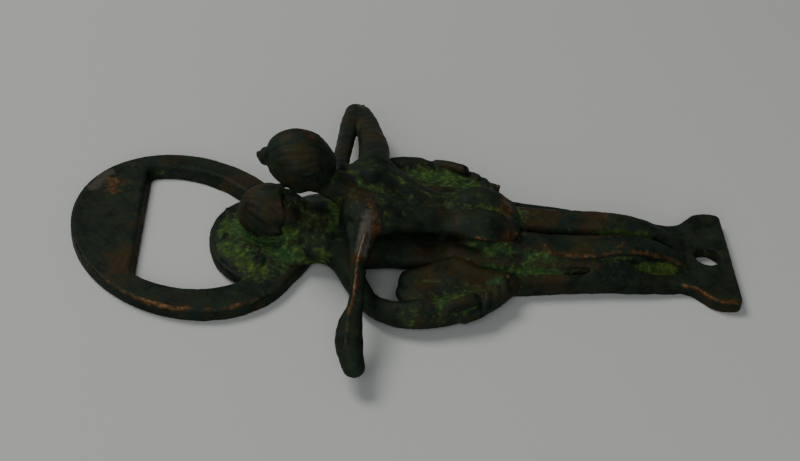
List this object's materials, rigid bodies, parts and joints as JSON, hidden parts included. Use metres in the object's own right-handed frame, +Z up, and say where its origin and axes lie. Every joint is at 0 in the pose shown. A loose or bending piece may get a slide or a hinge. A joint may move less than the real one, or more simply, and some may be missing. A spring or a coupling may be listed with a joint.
{
  "type": "souvenir bottle opener",
  "caption": "Cast bronze figural bottle opener: a hoop with a straight cap lip, two stylised reclining figures as the handle, and a flared tail plate with a key-ring hole.",
  "frame": {"origin": "under the middle of the object's length and width, on the surface it lies on", "axes": "+X along the object towards the key-ring plate, +Y to its left, +Z up"},
  "size_m": [0.13, 0.0818, 0.0261],
  "materials": {
    "rubbed_flat_bronze": "dark olive-brown patina, rubbed to bare copper-brown along the edges, satin",
    "verdigris_bronze": "dark bronze with yellow-green and blue-green verdigris in its hollows, matt",
    "dark_bronze": "near-black olive patina, orange-brown where worn, satin"
  },
  "bodies": {
    "root": {"cap_lip_plate": "rubbed_flat_bronze", "end_plate": "rubbed_flat_bronze", "hoop_rail_left": "rubbed_flat_bronze", "hoop_rail_right": "rubbed_flat_bronze", "lower_arm_left": "verdigris_bronze", "lower_arm_right": "verdigris_bronze", "lower_belly": "verdigris_bronze", "lower_chest": "verdigris_bronze", "lower_hair_disc": "verdigris_bronze", "lower_hand_left": "verdigris_bronze", "lower_hand_right": "verdigris_bronze", "lower_head": "verdigris_bronze", "lower_thigh_left": "verdigris_bronze", "lower_thigh_right": "verdigris_bronze", "side_bar_left": "rubbed_flat_bronze", "side_bar_right": "rubbed_flat_bronze", "upper_arm_left": "dark_bronze", "upper_arm_right": "dark_bronze", "upper_back": "dark_bronze", "upper_bun": "dark_bronze", "upper_chest": "dark_bronze", "upper_foot_left": "dark_bronze", "upper_foot_right": "dark_bronze", "upper_forearm_left": "dark_bronze", "upper_forearm_right": "dark_bronze", "upper_head": "dark_bronze", "upper_hips": "dark_bronze", "upper_leg_left": "dark_bronze", "upper_leg_right": "dark_bronze", "upper_neck": "dark_bronze"}
  },
  "joints": []
}
